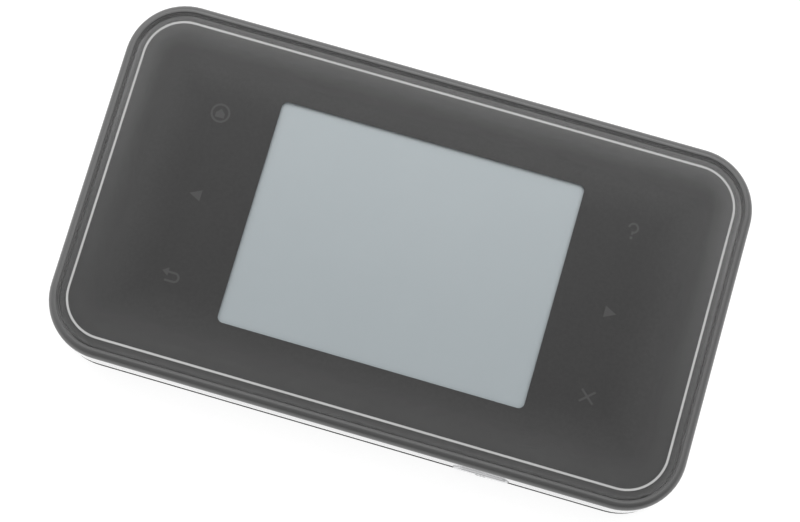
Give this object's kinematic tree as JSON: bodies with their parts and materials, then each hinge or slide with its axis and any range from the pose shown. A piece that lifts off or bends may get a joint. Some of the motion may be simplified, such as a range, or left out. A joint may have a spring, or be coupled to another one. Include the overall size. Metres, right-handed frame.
{
  "type": "mobile hotspot",
  "caption": "Pocket mobile hotspot: dark touch face with a small display, silver side band, power button, and a back cover over a removable battery and SIM card.",
  "frame": {"origin": "under the middle of the face, in the plane of the rubber feet", "axes": "+X along the long sides to the right of the display, +Y to the top of the display, +Z out of the face"},
  "size_m": [0.1046, 0.0601, 0.0132],
  "materials": {
    "lens_clear": "clear hard-coated",
    "outline_pale": "pale satin",
    "mask_ink": "dark printed film",
    "symbol_ink": "smoky translucent ink",
    "adhesive_black": "black foam tape",
    "bezel_dark": "dark satin moulding",
    "tray_steel": "pressed sheet",
    "display_grey": "unlit display, anti-glare",
    "foam_black": "soft foam",
    "flex_amber": "polyimide ribbon",
    "connector_ivory": "moulded",
    "key_board_green": "solder mask",
    "reflector_white": "white moulding",
    "led_clear": "moulded lamp",
    "plate_steel": "rolled sheet",
    "board_green": "solder mask",
    "shield_tin": "tin plate",
    "chip_black": "moulded package",
    "coil_grey": "ferrite",
    "contact_block": "moulded block with plated blades",
    "socket_steel": "stamped sheet",
    "antenna_copper": "plated copper",
    "spring_gold": "gold-plated spring",
    "usb_steel": "stamped shell",
    "tongue_black": "moulded tongue",
    "switch_black": "moulded body",
    "plunger_ivory": "moulded plunger",
    "band_silver": "polished, clear coated",
    "tub_black": "fine moulded grain",
    "screw_steel": "zinc plated",
    "button_silver": "polished, clear coated",
    "cover_dark": "fine moulded grain",
    "foot_rubber": "soft rubber",
    "battery_wrap": "printed film wrap",
    "pad_gold": "gold plate",
    "sim_white": "card stock"
  },
  "bodies": {
    "front_assembly": {"touch_lens": "lens_clear", "accent_ring": "outline_pale", "lens_mask": "mask_ink", "key_symbols": "symbol_ink", "lens_adhesive": "adhesive_black", "front_bezel": "bezel_dark", "lcd_frame": "tray_steel", "lcd_panel": "display_grey", "lcd_gasket": "foam_black", "lcd_flex": "flex_amber", "flex_connector": "connector_ivory", "left_key_board": "key_board_green", "right_key_board": "key_board_green", "left_key_reflector": "reflector_white", "right_key_reflector": "reflector_white", "key_leds": "led_clear", "mid_plate": "plate_steel", "main_board": "board_green", "modem_shield": "shield_tin", "wifi_shield": "shield_tin", "radio_chips": "chip_black", "power_components": "coil_grey", "battery_contacts": "contact_block", "sim_socket": "socket_steel", "main_antenna": "antenna_copper", "diversity_antenna": "antenna_copper", "wifi_antenna": "antenna_copper", "antenna_springs": "spring_gold", "usb_port": "usb_steel", "usb_tongue": "tongue_black", "power_switch": "switch_black", "side_band": "band_silver", "rear_housing": "tub_black", "case_screws": "screw_steel"},
    "power_button": {"power_button": "button_silver", "switch_plunger": "plunger_ivory"},
    "back_cover": {"back_cover": "cover_dark", "rubber_feet": "foot_rubber"},
    "battery": {"battery": "battery_wrap", "battery_pads": "pad_gold"},
    "sim_card": {"sim_card": "sim_white"}
  },
  "joints": [
    {"name": "power_button_press", "type": "slide", "parent": "front_assembly", "child": "power_button", "axis": [0, 1, 0], "range_m": [0, 0.00035], "stiffness_N_per_m": 2000},
    {"name": "back_cover_lift", "type": "slide", "parent": "front_assembly", "child": "back_cover", "axis": [0, 0, -1], "range_m": [0, 0.024]},
    {"name": "battery_lift", "type": "slide", "parent": "front_assembly", "child": "battery", "axis": [0, 0, -1], "range_m": [0, 0.012]},
    {"name": "sim_card_slide", "type": "slide", "parent": "front_assembly", "child": "sim_card", "axis": [0, -1, 0], "range_m": [0, 0.012]}
  ],
  "couplings": [
    {"joint": "battery_lift", "follows": "back_cover_lift", "ratio": 0.5}
  ]
}
